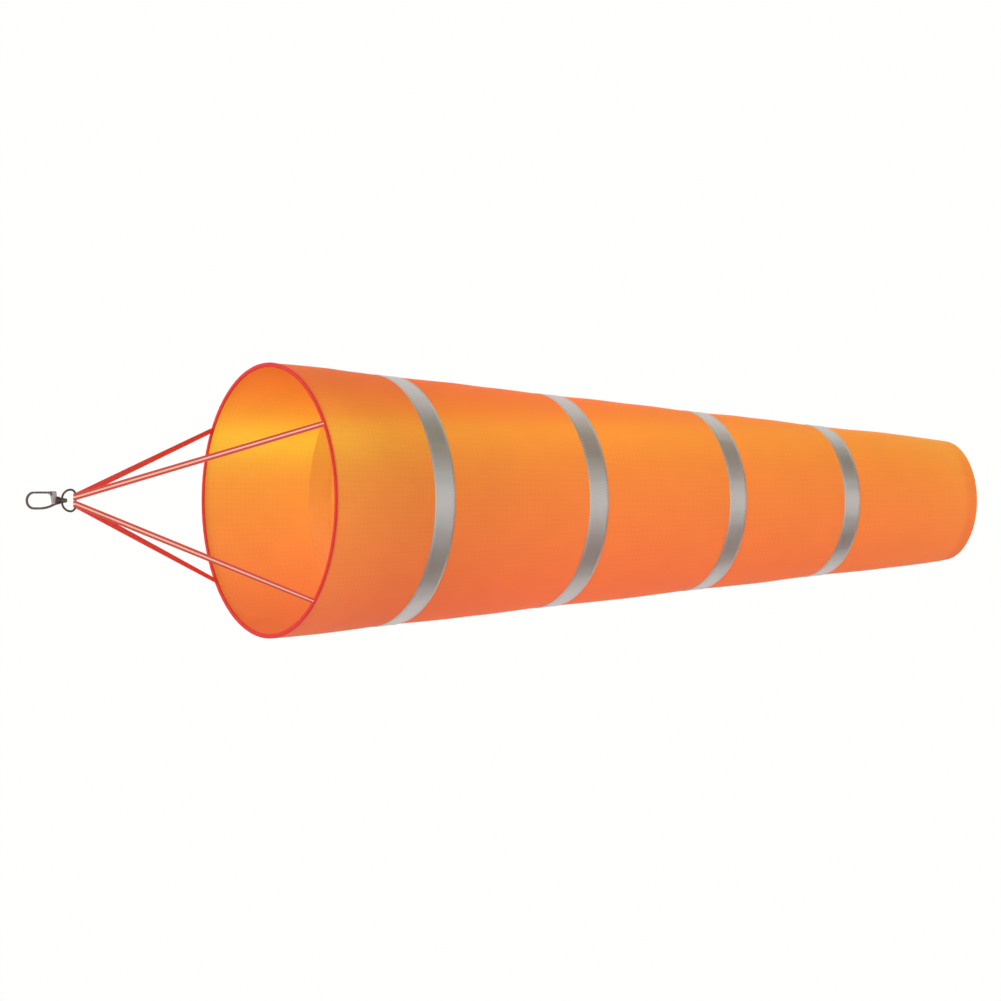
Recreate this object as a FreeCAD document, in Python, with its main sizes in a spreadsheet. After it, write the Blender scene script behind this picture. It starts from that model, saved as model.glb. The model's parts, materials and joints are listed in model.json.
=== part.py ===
"""A windsock: a cone of cloth on a sprung hoop, a strap bridle, and a swivel snap hook.

Millimetres, +Z up. The origin is the centre of the hook's bow, where a ring or a halyard sits.
+X runs along the sleeve from the hook to the tail.
"""

import FreeCAD, Part
import math
import os
import re

import Sketcher
from FreeCAD import Placement, Rotation, Vector

SIZES = {
    # the snap hook, side on
    "bow_inner": 6.5,
    "hook_wire": 2.2,
    "hook_width": 2.4,
    "hook_round": 0.7,
    "nose_top_x": 0.6,
    "nose_low_x": -1.4,
    "sweep_from_x": 6.0,
    "sweep_radius": 36.0,
    "sweep_inner_x": 22.4,
    "sweep_outer_x": 24.0,
    "block_top_left": 18.0,
    "block_top_right": 23.2,
    "block_low_right": 24.8,
    "block_low_left": 20.4,
    "block_top": 8.9,
    "block_low_z": -3.8,
    "block_heel_z": -2.0,
    "block_width": 5.0,
    "block_round": 0.5,
    "slot_width": 2.6,
    "slot_from": 14.0,
    "slot_to": 22.25,
    "slot_floor": 4.6,
    # the gate, its pin and its spring
    "pin_x": 20.4,
    "pin_height": 7.1,
    "pin_radius": 0.8,
    "pin_length": 5.2,
    "pin_clearance": 0.07,
    "gate_knuckle": 1.55,
    "gate_width": 2.2,
    "gate_round": 0.45,
    "gate_low": 6.62,
    "nose_gap": 0.28,
    "leaf_thick": 0.25,
    "leaf_width": 1.6,
    "leaf_inset": 0.3,
    "leaf_bend": 1.5,
    "leaf_reach": 4.9,
    "leaf_tip": 0.3,
    "leaf_play": 0.05,
    # the ribbed barrel, the swivel's rivet and the eye
    "barrel_from": 22.6,
    "barrel_to": 27.6,
    "barrel_nose": 28.2,
    "barrel_big": 4.6,
    "barrel_small": 3.6,
    "rib_depth": 0.35,
    "rib_count": 4,
    "collar_to": 28.8,
    "collar_radius": 2.0,
    "rivet_from": 21.5,
    "rivet_shank": 1.33,
    "rivet_head_from": 31.35,
    "rivet_head_to": 35.9,
    "rivet_head": 2.2,
    "rivet_dome": 1.4,
    "rivet_crown": 0.5,
    "edge_bevel": 0.4,
    "washer_clearance": 0.05,
    "washer_from": 28.85,
    "washer_to": 29.25,
    "washer_radius": 2.7,
    "boss_from": 29.4,
    "boss_to": 31.2,
    "boss_radius": 3.3,
    "boss_clearance": 0.07,
    "eye_wire": 1.05,
    "eye_bar_x": 45.1,
    "eye_bar_half": 5.2,
    "eye_corner": 5.2,
    "eye_corner_turn": 90.0,
    "eye_foot_x": 30.45,
    "eye_foot_z": 2.6,
    # the bridle's straps
    "strap_width": 6.4,
    "strap_thick": 1.0,
    "strap_slack": 0.25,
    "strap_apart": 0.3,
    "near_upper_angle": 56.0,
    "near_lower_angle": 137.0,
    "far_upper_angle": -58.5,
    "far_lower_angle": -126.5,
    # the hoop at the mouth and the binding sewn round it
    "mouth_x": 258.0,
    "rim_outer": 134.9,
    "rim_inner": 130.5,
    "rim_front": 1.0,
    "rim_round": 0.6,
    "hoop_radius": 132.9,
    "hoop_wire": 0.6,
    "hoop_gap_angle": 0.4,
    "ferrule_radius": 0.85,
    "ferrule_bore": 0.62,
    "ferrule_angle": 7.0,
    "tunnel_radius": 0.65,
    "slot_inner": 133.6,
    "slot_outer": 134.4,
    "slot_front": 0.3,
    "ferrule_play": 0.02,
    "ferrule_end_play": 0.1,
    # the sleeve and its bands: positions run back from the mouth
    "cloth_wall": 0.6,
    "sleeve_radius": 134.4,
    "sleeve_taper": 0.09125,
    "cloth_start": 0.9,
    "sleeve_length": 800.0,
    "band_1_at": 128.0,
    "band_2_at": 315.0,
    "band_3_at": 489.0,
    "band_4_at": 635.5,
    "band_1_width": 24.0,
    "band_2_width": 23.0,
    "band_3_width": 21.0,
    "band_4_width": 20.0,
    "band_thick": 0.5,
    "droop_limit": 20.0,
    "fold_room": 4.0,
    "tail_hem_width": 12.0,
    "sewing_gap": 0.03,
    "contact_gap": 0.02,
    "cutter_extra": 1.0,
}
BANDS = (1, 2, 3, 4)

doc = FreeCAD.newDocument("windsock")
sheet = doc.addObject("Spreadsheet::Sheet", "sizes")
for row, (alias, number) in enumerate(SIZES.items(), start=1):
    sheet.set(f"A{row}", alias)
    sheet.set(f"B{row}", str(number))
    sheet.setAlias(f"B{row}", alias)
doc.recompute()

nodes = []


def named(text):
    """An expression in the sheet's words, with each word made a reference to its cell."""

    def cell(match):
        word = match.group()
        return f"sizes.{word}" if word in SIZES else word

    return re.sub(r"[a-z_][a-z0-9_]*", cell, text)


def value(text):
    """The number that an expression in the sheet's words comes to."""
    return float(sheet.evalExpression(named(text)))


def bind(feature, **sizes):
    """Tie properties to expressions in the sheet's words; an underscore path is a dotted one."""
    for name, text in sizes.items():
        feature.setExpression(name.replace("__", "."), named(text))


def keep(feature, label):
    """Make a finished feature one of the object's nodes."""
    feature.Label = label
    nodes.append(feature)
    return feature


# Sketches and features


def new_body(label):
    return doc.addObject("PartDesign::Body", label + "_body")


def plane_of(body, role):
    return next(f for f in body.Origin.OriginFeatures if f.Role == role)


def sketch_on(body, role, name):
    sketch = body.newObject("Sketcher::SketchObject", name)
    sketch.AttachmentSupport = [(plane_of(body, role), "")]
    sketch.MapMode = "FlatFace"
    return sketch


def pin_point(sketch, index, end, at):
    """Hold one end of a sketch line or arc at a point given as two expressions."""
    for kind, text in zip(("DistanceX", "DistanceY"), at):
        number = sketch.addConstraint(Sketcher.Constraint(kind, -1, 1, index, end, value(text)))
        sketch.setExpression(f"Constraints[{number}]", named(text))


def hold_radius(sketch, index, text):
    number = sketch.addConstraint(Sketcher.Constraint("Radius", index, value(text)))
    sketch.setExpression(f"Constraints[{number}]", named(text))


def outline(sketch, start, steps):
    """A closed outline. A step is a line's end point, or (end, centre, turn) for an arc."""
    here = start
    ends = []
    for step in steps:
        is_arc = isinstance(step[0], tuple)
        end = step[0] if is_arc else step
        a = Vector(value(here[0]), value(here[1]), 0)
        b = Vector(value(end[0]), value(end[1]), 0)
        if is_arc:
            centre = Vector(value(step[1][0]), value(step[1][1]), 0)
            circle = Part.Circle(centre, Vector(0, 0, 1), (a - centre).Length)
            turns = [math.atan2(p.y - centre.y, p.x - centre.x) for p in (a, b)]
            forward = step[2] > 0
            index = sketch.addGeometry(Part.ArcOfCircle(circle, *(turns if forward else turns[::-1])))
            ends.append((index, 1, 2) if forward else (index, 2, 1))
        else:
            index = sketch.addGeometry(Part.LineSegment(a, b))
            ends.append((index, 1, 2))
        here = end
    for (index, _, out), (follower, into, _) in zip(ends, ends[1:] + ends[:1]):
        sketch.addConstraint(Sketcher.Constraint("Coincident", index, out, follower, into))
    points = [start] + [s[0] if isinstance(s[0], tuple) else s for s in steps[:-1]]
    for (index, into, _), point, step in zip(ends, points, steps):
        pin_point(sketch, index, into, point)
        if isinstance(step[0], tuple):
            across, up = (f"(({at}) - ({centre}))" for at, centre in zip(point, step[1]))
            hold_radius(sketch, index, f"sqrt({across}^2 + {up}^2)")


def round_hole(sketch, at, radius):
    centre = Vector(value(at[0]), value(at[1]), 0)
    index = sketch.addGeometry(Part.Circle(centre, Vector(0, 0, 1), value(radius)))
    pin_point(sketch, index, 3, at)
    hold_radius(sketch, index, radius)


def pad(body, sketch, width, name):
    feature = body.newObject("PartDesign::Pad", name)
    feature.Profile = sketch
    feature.SideType = "Symmetric"
    bind(feature, Length=width)
    doc.recompute()
    return feature


def pocket(body, sketch, width, name):
    """A cut through the middle of the body, as deep each way as half the width."""
    before = body.Shape.Volume
    feature = body.newObject("PartDesign::Pocket", name)
    feature.Profile = sketch
    feature.SideType = "Symmetric"
    bind(feature, Length=width)
    doc.recompute()
    if body.Shape.Volume > before - 1e-6:
        raise RuntimeError(f"{name} cuts nothing")
    return feature


def revolve(body, sketch, kind, name):
    """A sketch on the XZ plane, turned about the X axis."""
    before = body.Shape.Volume if body.Tip else 0.0
    feature = body.newObject("PartDesign::" + kind, name)
    feature.Profile = sketch
    feature.ReferenceAxis = (sketch, ["H_Axis"])
    feature.Angle = 360
    doc.recompute()
    if kind == "Groove" and body.Shape.Volume > before - 1e-6:
        raise RuntimeError(f"{name} cuts nothing")
    return feature


def round_edges(body, base, radius, chosen, name):
    """Round the edges of a feature that a test picks out."""
    edges = [f"Edge{n}" for n, edge in enumerate(base.Shape.Edges, start=1) if chosen(edge)]
    feature = body.newObject("PartDesign::Fillet", name)
    feature.Base = (base, edges)
    bind(feature, Radius=radius)
    doc.recompute()
    return feature


def on_side(width):
    """A test for the edges on the two side faces of a plate that lies across Y."""
    half = value(width) / 2
    return lambda edge: all(abs(abs(v.Point.y) - half) < 1e-6 for v in edge.Vertexes)


# The snap hook

HOOK_OUTER = "bow_inner + hook_wire"
SWEEP_CENTRE_Z = f"sweep_radius - ({HOOK_OUTER})"
SWEEP_CENTRE = ("sweep_from_x", SWEEP_CENTRE_Z)


def sweep_z(x, radius):
    return f"({SWEEP_CENTRE_Z}) - sqrt(({radius})^2 - ({x} - sweep_from_x)^2)"


def hook_loop(sketch):
    """The bow and the arm that sweeps up from it, as one flat outline with a slanted nose."""
    nose_low = ("nose_low_x", "sqrt(bow_inner^2 - nose_low_x^2)")
    inner_radius = "sweep_radius - hook_wire"
    outline(
        sketch,
        ("0", HOOK_OUTER),
        [
            ((f"-({HOOK_OUTER})", "0"), ("0", "0"), 1),
            (("0", f"-({HOOK_OUTER})"), ("0", "0"), 1),
            ("sweep_from_x", f"-({HOOK_OUTER})"),
            (("sweep_outer_x", sweep_z("sweep_outer_x", "sweep_radius")), SWEEP_CENTRE, 1),
            ("sweep_inner_x", sweep_z("sweep_inner_x", inner_radius)),
            (("sweep_from_x", "-bow_inner"), SWEEP_CENTRE, -1),
            ("0", "-bow_inner"),
            (("-bow_inner", "0"), ("0", "0"), -1),
            (nose_low, ("0", "0"), -1),
            ("nose_top_x", HOOK_OUTER),
            ("0", HOOK_OUTER),
        ],
    )


def hook_block(sketch):
    outline(
        sketch,
        ("block_top_left", "block_top"),
        [
            ("block_low_left", "block_low_z"),
            ("block_low_right", "block_heel_z"),
            ("block_top_right", "block_top"),
            ("block_top_left", "block_top"),
        ],
    )


def barrel_profile(sketch):
    """The cone with its ribs and its short nose, and the collar, as half a section above the axis."""
    count = int(value("rib_count"))
    rib_end, groove_start, groove_end = 0.55, 0.65, 0.9
    steps = []
    cone = "(barrel_big - (barrel_big - barrel_small) * {0})"
    for rib in range(count):
        for share, deep in ((0.0, False), (rib_end, False), (groove_start, True), (groove_end, True)):
            along = (rib + share) / count
            radius = cone.format(along) + (" - rib_depth" if deep else "")
            steps.append((f"barrel_from + (barrel_to - barrel_from) * {along}", radius))
    steps += [
        ("barrel_to", "barrel_small"),
        ("barrel_nose", "collar_radius"),
        ("collar_to", "collar_radius"),
        ("collar_to", "0"),
        ("barrel_from", "0"),
    ]
    outline(sketch, steps[-1], steps)


def make_hook_body():
    body = new_body("hook_body")
    loop = sketch_on(body, "XZ_Plane", "hook_loop")
    hook_loop(loop)
    bow = pad(body, loop, "hook_width", "hook_bow")
    round_edges(body, bow, "hook_round", on_side("hook_width"), "hook_bow_rounds")
    side = sketch_on(body, "XZ_Plane", "hook_block_side")
    hook_block(side)
    block = pad(body, side, "block_width", "hook_block")
    round_edges(body, block, "block_round", on_side("block_width"), "hook_block_rounds")
    profile = sketch_on(body, "XZ_Plane", "barrel_profile")
    barrel_profile(profile)
    revolve(body, profile, "Revolution", "hook_barrel")
    bore = sketch_on(body, "XZ_Plane", "rivet_bore")
    outline(
        bore,
        ("rivet_from", "0"),
        [
            ("collar_to + cutter_extra", "0"),
            ("collar_to + cutter_extra", "rivet_shank"),
            ("rivet_from", "rivet_shank"),
            ("rivet_from", "0"),
        ],
    )
    revolve(body, bore, "Groove", "hook_rivet_bore")
    slot = sketch_on(body, "XZ_Plane", "gate_slot")
    outline(
        slot,
        ("slot_from", "slot_floor"),
        [
            ("slot_to", "slot_floor"),
            ("slot_to", "block_top + cutter_extra"),
            ("slot_from", "block_top + cutter_extra"),
            ("slot_from", "slot_floor"),
        ],
    )
    pocket(body, slot, "slot_width", "hook_gate_slot")
    hole = sketch_on(body, "XZ_Plane", "pin_hole")
    round_hole(hole, ("pin_x", "pin_height"), "pin_radius")
    pocket(body, hole, "block_width + cutter_extra", "hook_pin_hole")
    keep(body, "hook_body")


def make_hook_gate():
    """The bar that closes the hook, with its knuckle round the pin."""
    body = new_body("hook_gate")
    side = sketch_on(body, "XZ_Plane", "gate_side")
    tip_low = "nose_low_x + nose_gap"
    tip_top = "nose_top_x + nose_gap"
    knuckle_top = "pin_height + gate_knuckle"
    heel_x = "pin_x - sqrt(gate_knuckle^2 - (pin_height - gate_low)^2)"
    outline(
        side,
        (tip_low, "gate_low"),
        [
            (heel_x, "gate_low"),
            (("pin_x", knuckle_top), ("pin_x", "pin_height"), 1),
            (tip_top, knuckle_top),
            (tip_low, "gate_low"),
        ],
    )
    bar = pad(body, side, "gate_width", "gate_bar")
    round_edges(body, bar, "gate_round", on_side("gate_width"), "gate_rounds")
    hole = sketch_on(body, "XZ_Plane", "gate_hole")
    round_hole(hole, ("pin_x", "pin_height"), "pin_radius + pin_clearance")
    pocket(body, hole, "gate_width + cutter_extra", "gate_pin_hole")
    keep(body, "hook_gate")


def make_gate_pin():
    pin = doc.addObject("Part::Cylinder", "gate_pin")
    bind(pin, Radius="pin_radius", Height="pin_length")
    pin.Placement = Placement(Vector(0, 0, 0), Rotation(Vector(1, 0, 0), 90))
    bind(pin, Placement__Base__x="pin_x", Placement__Base__y="pin_length / 2")
    bind(pin, Placement__Base__z="pin_height")
    keep(pin, "gate_pin")


def make_gate_spring():
    """A leaf that lies on the slot's floor and rises to press on the gate's underside."""
    body = new_body("gate_spring")
    side = sketch_on(body, "XZ_Plane", "leaf_side")
    low = "slot_floor + contact_gap"
    top = "slot_floor + contact_gap + leaf_thick"
    back = "slot_to - leaf_inset"
    outline(
        side,
        (back, low),
        [
            (back, top),
            ("pin_x - leaf_bend", top),
            ("pin_x - leaf_reach", "gate_low - leaf_play"),
            ("pin_x - leaf_reach - leaf_tip", "gate_low - leaf_play"),
            ("pin_x - leaf_reach - leaf_tip / 2", "gate_low - leaf_play - leaf_thick"),
            ("pin_x - leaf_bend - leaf_thick / 2", low),
            (back, low),
        ],
    )
    pad(body, side, "leaf_width", "leaf")
    keep(body, "gate_spring")


# The swivel


def make_swivel_stem():
    """The rivet: a plain shank in the barrel, and a head inside the eye."""
    body = new_body("swivel_stem")
    half = sketch_on(body, "XZ_Plane", "rivet_half")
    outline(
        half,
        ("rivet_from", "0"),
        [
            ("rivet_from", "rivet_shank"),
            ("rivet_head_from", "rivet_shank"),
            ("rivet_head_from", "rivet_head - edge_bevel"),
            ("rivet_head_from + edge_bevel", "rivet_head"),
            ("rivet_head_to - rivet_dome", "rivet_head"),
            ("rivet_head_to - rivet_crown", "rivet_head - rivet_crown"),
            ("rivet_head_to", "rivet_head - rivet_dome"),
            ("rivet_head_to", "0"),
            ("rivet_from", "0"),
        ],
    )
    revolve(body, half, "Revolution", "rivet")
    keep(body, "swivel_stem")


def ring_on_axis(label, outer, inner, start, end):
    """A flat ring round the X axis, between two positions along it."""
    bodies = []
    for name, radius in (("_outer", outer), ("_inner", inner)):
        drum = doc.addObject("Part::Cylinder", label + name)
        bind(drum, Radius=radius, Height=f"({end}) - ({start})")
        drum.Placement = Placement(Vector(0, 0, 0), Rotation(Vector(0, 1, 0), 90))
        bind(drum, Placement__Base__x=start)
        bodies.append(drum)
    ring = doc.addObject("Part::Cut", label)
    ring.Base, ring.Tool = bodies
    return ring


def make_swivel_washer():
    bore = "rivet_shank + washer_clearance"
    washer = ring_on_axis("swivel_washer", "washer_radius", bore, "washer_from", "washer_to")
    keep(washer, "swivel_washer")


def make_swivel_eye():
    """A D of round wire whose two feet join a boss that turns on the rivet."""
    body = new_body("swivel_eye")
    bar_x, bar_half, corner = value("eye_bar_x"), value("eye_bar_half"), value("eye_corner")
    turn = math.radians(value("eye_corner_turn"))
    corner_centre = Vector(bar_x - corner, bar_half, 0)
    shoulder = corner_centre + Vector(corner * math.cos(turn), corner * math.sin(turn), 0)
    foot = Vector(value("eye_foot_x"), value("eye_foot_z"), 0)
    inward = (corner_centre - shoulder).normalize()
    span = foot - shoulder
    big = span.dot(span) / (2 * span.dot(inward))
    big_centre = shoulder + inward * big

    def arc(centre, radius, a, b):
        angles = [math.atan2(p.y - centre.y, p.x - centre.x) % (2 * math.pi) for p in (a, b)]
        return Part.ArcOfCircle(Part.Circle(centre, Vector(0, 0, 1), radius), *angles)

    def mirrored(point):
        return Vector(point.x, -point.y, 0)

    top, low = Vector(bar_x, bar_half, 0), Vector(bar_x, -bar_half, 0)
    path = sketch_on(body, "XZ_Plane", "eye_path")
    pieces = [
        arc(big_centre, big, shoulder, foot),
        arc(corner_centre, corner, top, shoulder),
        Part.LineSegment(low, top),
        arc(mirrored(corner_centre), corner, mirrored(shoulder), low),
        arc(mirrored(big_centre), big, mirrored(foot), mirrored(shoulder)),
    ]
    for piece in pieces:
        path.addGeometry(piece)
    for first in range(len(pieces) - 1):
        path.addConstraint(Sketcher.Constraint("Coincident", first, 1, first + 1, 2))
    doc.recompute()
    section = body.newObject("Sketcher::SketchObject", "eye_section")
    section.AttachmentSupport = [(path, "Edge1")]
    section.MapMode = "NormalToEdge"
    section.addGeometry(Part.Circle(Vector(0, 0, 0), Vector(0, 0, 1), value("eye_wire")))
    section.addConstraint(Sketcher.Constraint("Coincident", 0, 3, -1, 1))
    hold_radius(section, 0, "eye_wire")
    doc.recompute()
    wire = body.newObject("PartDesign::AdditivePipe", "eye_bow")
    wire.Profile = section
    wire.Spine = (path, [f"Edge{n}" for n in range(1, len(pieces) + 1)])
    doc.recompute()
    half = sketch_on(body, "XZ_Plane", "boss_half")
    bore = "rivet_shank + boss_clearance"
    outline(
        half,
        ("boss_from", bore),
        [
            ("boss_from", "boss_radius - edge_bevel"),
            ("boss_from + edge_bevel", "boss_radius"),
            ("boss_to - edge_bevel", "boss_radius"),
            ("boss_to", "boss_radius - edge_bevel"),
            ("boss_to", bore),
            ("boss_from", bore),
        ],
    )
    revolve(body, half, "Revolution", "eye_boss")
    keep(body, "swivel_eye")


# The bridle: two straps, each one round the eye's bar, with a near and a far leg

LOOP_INNER = "eye_wire + strap_slack"
LOOP_OUTER = "eye_wire + strap_slack + strap_thick"


def rectangle(centre, across, through, width, thick):
    """A closed wire round a rectangle, from its middle and its two directions."""
    corners = []
    for side, face in ((-1, -1), (1, -1), (1, 1), (-1, 1)):
        corners.append(centre + across * (side * width / 2) + through * (face * thick / 2))
    return Part.makePolygon(corners + corners[:1])


def make_strap_leg(label, side, level, angle):
    """Half a strap: from the back of the bar, round it, and straight to the hoop's binding.

    side is -1 for the near leg (-Y) and 1 for the far one; level is 1 for the upper strap.
    """
    width, thick = value("strap_width"), value("strap_thick")
    bar = Vector(value("eye_bar_x"), 0, 0)
    height = level * (width + value("strap_apart")) / 2
    turn = math.radians(value(angle))
    ring = (value("rim_outer") + value("rim_inner")) / 2
    outward = Vector(0, -math.sin(turn), math.cos(turn))
    along_rim = Vector(0, math.cos(turn), math.sin(turn))
    if along_rim.z < 0:
        along_rim = along_rim * -1
    end = Vector(value("mouth_x - rim_front"), 0, 0) + outward * ring
    reach = Vector(end.x - bar.x, abs(end.y), 0)
    middle = value(LOOP_INNER) + thick / 2
    heading = math.atan2(reach.y, reach.x) - math.asin(middle / reach.Length)
    off_bar = Vector(-math.sin(heading), side * math.cos(heading), 0)
    start = bar + off_bar * middle + Vector(0, 0, height)
    sections = []
    for name, wire in (
        ("_start", rectangle(start, Vector(0, 0, 1), off_bar, width, thick)),
        ("_end", rectangle(end, along_rim, outward, width, thick)),
    ):
        section = doc.addObject("Part::Feature", label + name)
        section.Shape = wire
        sections.append(section)
    leg = doc.addObject("Part::Loft", label + "_leg")
    leg.Sections = sections
    leg.Solid = True
    leg.Ruled = True
    half_turn = 90 - math.degrees(heading)
    drums = []
    for name, radius in (("_loop_outer", LOOP_OUTER), ("_loop_inner", LOOP_INNER)):
        drum = doc.addObject("Part::Cylinder", label + name)
        bind(drum, Radius=radius, Height="strap_width")
        drum.Angle = half_turn if name == "_loop_outer" else 360
        first = 180.0 if side < 0 else 180.0 - half_turn
        drum.Placement = Placement(
            Vector(bar.x, 0, height - width / 2), Rotation(Vector(0, 0, 1), first)
        )
        drums.append(drum)
    loop = doc.addObject("Part::Cut", label + "_loop")
    loop.Base, loop.Tool = drums
    strap = doc.addObject("Part::Fuse", label)
    strap.Base, strap.Tool = leg, loop
    keep(strap, label)


def make_bridle():
    for side, side_name in ((-1, "near"), (1, "far")):
        for level, level_name in ((1, "upper"), (-1, "lower")):
            label = f"bridle_{side_name}_{level_name}"
            make_strap_leg(label, side, level, f"{side_name}_{level_name}_angle")


# The mouth: a sprung hoop, its ferrule and the binding


def torus_on_axis(label, big, small, angle, start_angle=0.0):
    """Part of a torus round the X axis at the mouth, from an angle measured from +Z."""
    ring = doc.addObject("Part::Torus", label)
    bind(ring, Radius1=big, Radius2=small, Angle3=angle)
    turned = Rotation(Vector(1, 0, 0), start_angle) * Rotation(Vector(0, 1, 0), 90)
    ring.Placement = Placement(Vector(0, 0, 0), turned)
    bind(ring, Placement__Base__x="mouth_x")
    return ring


def make_mouth():
    gap = value("hoop_gap_angle")
    hoop = torus_on_axis("mouth_hoop", "hoop_radius", "hoop_wire", "360 - hoop_gap_angle", gap / 2)
    keep(hoop, "mouth_hoop")
    start = -value("ferrule_angle") / 2
    blank = torus_on_axis("ferrule_blank", "hoop_radius", "ferrule_radius", "ferrule_angle", start)
    bore = torus_on_axis("ferrule_bore_cut", "hoop_radius", "ferrule_bore", "360")
    ferrule = doc.addObject("Part::Cut", "hoop_ferrule")
    ferrule.Base, ferrule.Tool = blank, bore
    keep(ferrule, "hoop_ferrule")

    front, back = "mouth_x - rim_front", "mouth_x + rim_front"
    blank = ring_on_axis("binding_blank", "rim_outer", "rim_inner", front, back)
    doc.recompute()
    soft = doc.addObject("Part::Fillet", "binding_rounds")
    soft.Base = blank
    radius = value("rim_round")
    circles = [n for n, edge in enumerate(blank.Shape.Edges, start=1) if edge.isClosed()]
    soft.Edges = [(n, radius, radius) for n in circles]
    slot_start, slot_end = "mouth_x + slot_front", "mouth_x + rim_front + cutter_extra"
    slot = ring_on_axis("binding_slot", "slot_outer", "slot_inner", slot_start, slot_end)
    tunnel = torus_on_axis("binding_tunnel", "hoop_radius", "tunnel_radius", "360")
    room_angle = "ferrule_angle + ferrule_end_play"
    ferrule_room = torus_on_axis(
        "ferrule_room", "hoop_radius", "ferrule_radius + ferrule_play", room_angle, -value(room_angle) / 2
    )
    cuts = doc.addObject("Part::MultiFuse", "binding_cuts")
    cuts.Shapes = [slot, tunnel, ferrule_room]
    binding = doc.addObject("Part::Cut", "mouth_binding")
    binding.Base, binding.Tool = soft, cuts
    keep(binding, "mouth_binding")


# The sleeve: cloth panels, with a fold in each of the first four, and the silver bands


def sleeve_at(position):
    return f"(sleeve_radius - sleeve_taper * ({position}))"


def cloth_tube(label, start, end, outside="0", wall="cloth_wall"):
    """A thin cone of cloth between two positions, its face lifted off the sleeve's by outside."""
    drums = []
    for name, shift in (("_outer", outside), ("_inner", f"({outside}) - ({wall})")):
        drum = doc.addObject("Part::Cone", label + name)
        first, last = (f"{sleeve_at(x)} + ({shift})" for x in (start, end))
        bind(drum, Radius1=first, Radius2=last, Height=f"({end}) - ({start})")
        drum.Placement = Placement(Vector(0, 0, 0), Rotation(Vector(0, 1, 0), 90))
        bind(drum, Placement__Base__x=f"mouth_x + ({start})")
        drums.append(drum)
    tube = doc.addObject("Part::Cut", label)
    tube.Base, tube.Tool = drums
    keep(tube, label)


def make_sleeve():
    behind = "cloth_start"
    for band in BANDS:
        at, width = f"band_{band}_at", f"band_{band}_width"
        last_edge = "0" if band == 1 else f"(band_{band - 1}_at + band_{band - 1}_width / 2)"
        fold_at = f"(({last_edge}) + ({at} - {width} / 2)) / 2"
        half_fold = f"({sleeve_at(fold_at)} * tan(droop_limit * 1deg / 2) + fold_room / 2)"
        fold_from, fold_to = f"({fold_at}) - {half_fold}", f"({fold_at}) + {half_fold}"
        cloth_tube(f"panel_{band}_front", behind, fold_from)
        cloth_tube(f"panel_{band}_fold", fold_from, fold_to)
        cloth_tube(f"panel_{band}_rear", fold_to, at)
        lift = "sewing_gap + band_thick"
        cloth_tube(f"band_{band}", f"{at} - {width} / 2", f"{at} + {width} / 2", lift, "band_thick")
        behind = at
    cloth_tube("panel_5", behind, "sleeve_length")
    inside = "-(cloth_wall + sewing_gap)"
    cloth_tube("tail_hem", "sleeve_length - tail_hem_width", "sleeve_length", inside)


def check_and_write():
    doc.recompute()
    bad = [f.Name for f in doc.Objects if {"Invalid", "Error"} & set(f.State)]
    if bad:
        raise RuntimeError(f"these objects failed: {bad}")
    os.makedirs("parts", exist_ok=True)
    for node in nodes:
        shape = node.Shape
        if shape.isNull() or not shape.isValid() or not shape.Solids:
            raise RuntimeError(f"{node.Label} has no sound shape")
        shape.exportStep(f"parts/{node.Label}.step")
        box = shape.BoundBox
        print(f"{node.Label:22s} {shape.Volume:11.1f} mm3  x {box.XMin:7.2f} to {box.XMax:7.2f}")


make_hook_body()
make_hook_gate()
make_gate_pin()
make_gate_spring()
make_swivel_stem()
make_swivel_washer()
make_swivel_eye()
make_bridle()
make_mouth()
make_sleeve()
check_and_write()
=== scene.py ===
"""The looks of a windsock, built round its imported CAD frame.

Metres, in the CAD's own frame: +X runs from the hook to the tail along the sleeve's axis, +Z is up,
and the near side is -Y. A place round the sleeve is an angle from the top towards -Y.
"""

import json
import math

import bpy
import numpy as np
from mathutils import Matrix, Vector


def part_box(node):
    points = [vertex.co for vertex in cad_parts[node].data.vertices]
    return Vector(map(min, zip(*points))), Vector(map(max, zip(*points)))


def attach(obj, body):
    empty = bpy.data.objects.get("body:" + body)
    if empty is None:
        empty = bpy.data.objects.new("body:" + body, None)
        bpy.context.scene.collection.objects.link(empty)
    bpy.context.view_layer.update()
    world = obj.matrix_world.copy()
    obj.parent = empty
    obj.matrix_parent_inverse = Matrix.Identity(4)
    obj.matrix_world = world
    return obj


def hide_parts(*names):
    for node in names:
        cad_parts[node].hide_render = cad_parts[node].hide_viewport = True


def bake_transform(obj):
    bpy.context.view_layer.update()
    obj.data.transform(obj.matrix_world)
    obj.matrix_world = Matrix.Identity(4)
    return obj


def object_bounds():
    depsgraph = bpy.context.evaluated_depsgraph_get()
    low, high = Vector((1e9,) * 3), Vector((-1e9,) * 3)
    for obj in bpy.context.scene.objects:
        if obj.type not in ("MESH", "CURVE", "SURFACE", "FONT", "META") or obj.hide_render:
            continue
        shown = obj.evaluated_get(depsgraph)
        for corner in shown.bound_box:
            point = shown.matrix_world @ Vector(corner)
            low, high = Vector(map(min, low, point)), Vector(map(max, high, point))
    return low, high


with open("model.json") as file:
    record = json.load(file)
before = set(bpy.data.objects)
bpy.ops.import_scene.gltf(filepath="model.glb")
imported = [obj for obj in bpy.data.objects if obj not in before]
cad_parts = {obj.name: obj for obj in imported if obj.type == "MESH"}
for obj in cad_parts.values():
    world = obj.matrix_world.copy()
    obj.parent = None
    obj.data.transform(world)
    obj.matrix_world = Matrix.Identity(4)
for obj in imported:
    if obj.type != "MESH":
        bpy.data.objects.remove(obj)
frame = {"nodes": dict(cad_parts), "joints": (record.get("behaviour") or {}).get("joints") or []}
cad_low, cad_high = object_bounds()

NODES = frame["nodes"]
JOINTS = {joint["name"]: joint for joint in frame["joints"]}
BANDS = (1, 2, 3, 4)
PANELS = (1, 2, 3, 4, 5)
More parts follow.
